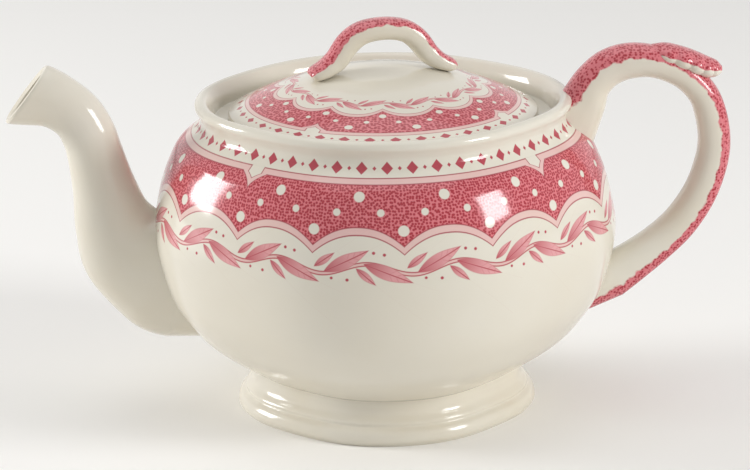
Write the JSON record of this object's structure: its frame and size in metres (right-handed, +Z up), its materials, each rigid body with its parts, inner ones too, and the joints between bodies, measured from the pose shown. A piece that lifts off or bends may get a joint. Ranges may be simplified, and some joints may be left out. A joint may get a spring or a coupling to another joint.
{
  "type": "teapot",
  "caption": "Low four-lobed printed earthenware teapot with a flared foot, gallery collar, domed lid with a bridge knob, curved spout and looped handle.",
  "frame": {"origin": "on the table, under the middle of the whole teapot's length, width", "axes": "+X towards the handle, -X towards the spout, +Z up, -Y towards the camera side"},
  "size_m": [0.2408, 0.1542, 0.1321],
  "materials": {
    "printed_glaze": "glossy cream lead glaze over a pink stippled print",
    "cream_glaze": "glossy cream glaze",
    "bare_biscuit": "matt unglazed body"
  },
  "bodies": {
    "pot": {"bowl": "printed_glaze", "foot_ring": "cream_glaze", "gallery_collar": "printed_glaze", "lid_seat": "cream_glaze", "spout": "cream_glaze", "handle": "printed_glaze", "thumb_leaf": "printed_glaze"},
    "lid": {"lid_cover": "printed_glaze", "lid_flange": "bare_biscuit", "lid_knob": "printed_glaze"}
  },
  "joints": [
    {"name": "lid_lift", "type": "slide", "parent": "pot", "child": "lid", "axis": [0, 0, 1], "range_m": [0, 0.06]}
  ]
}
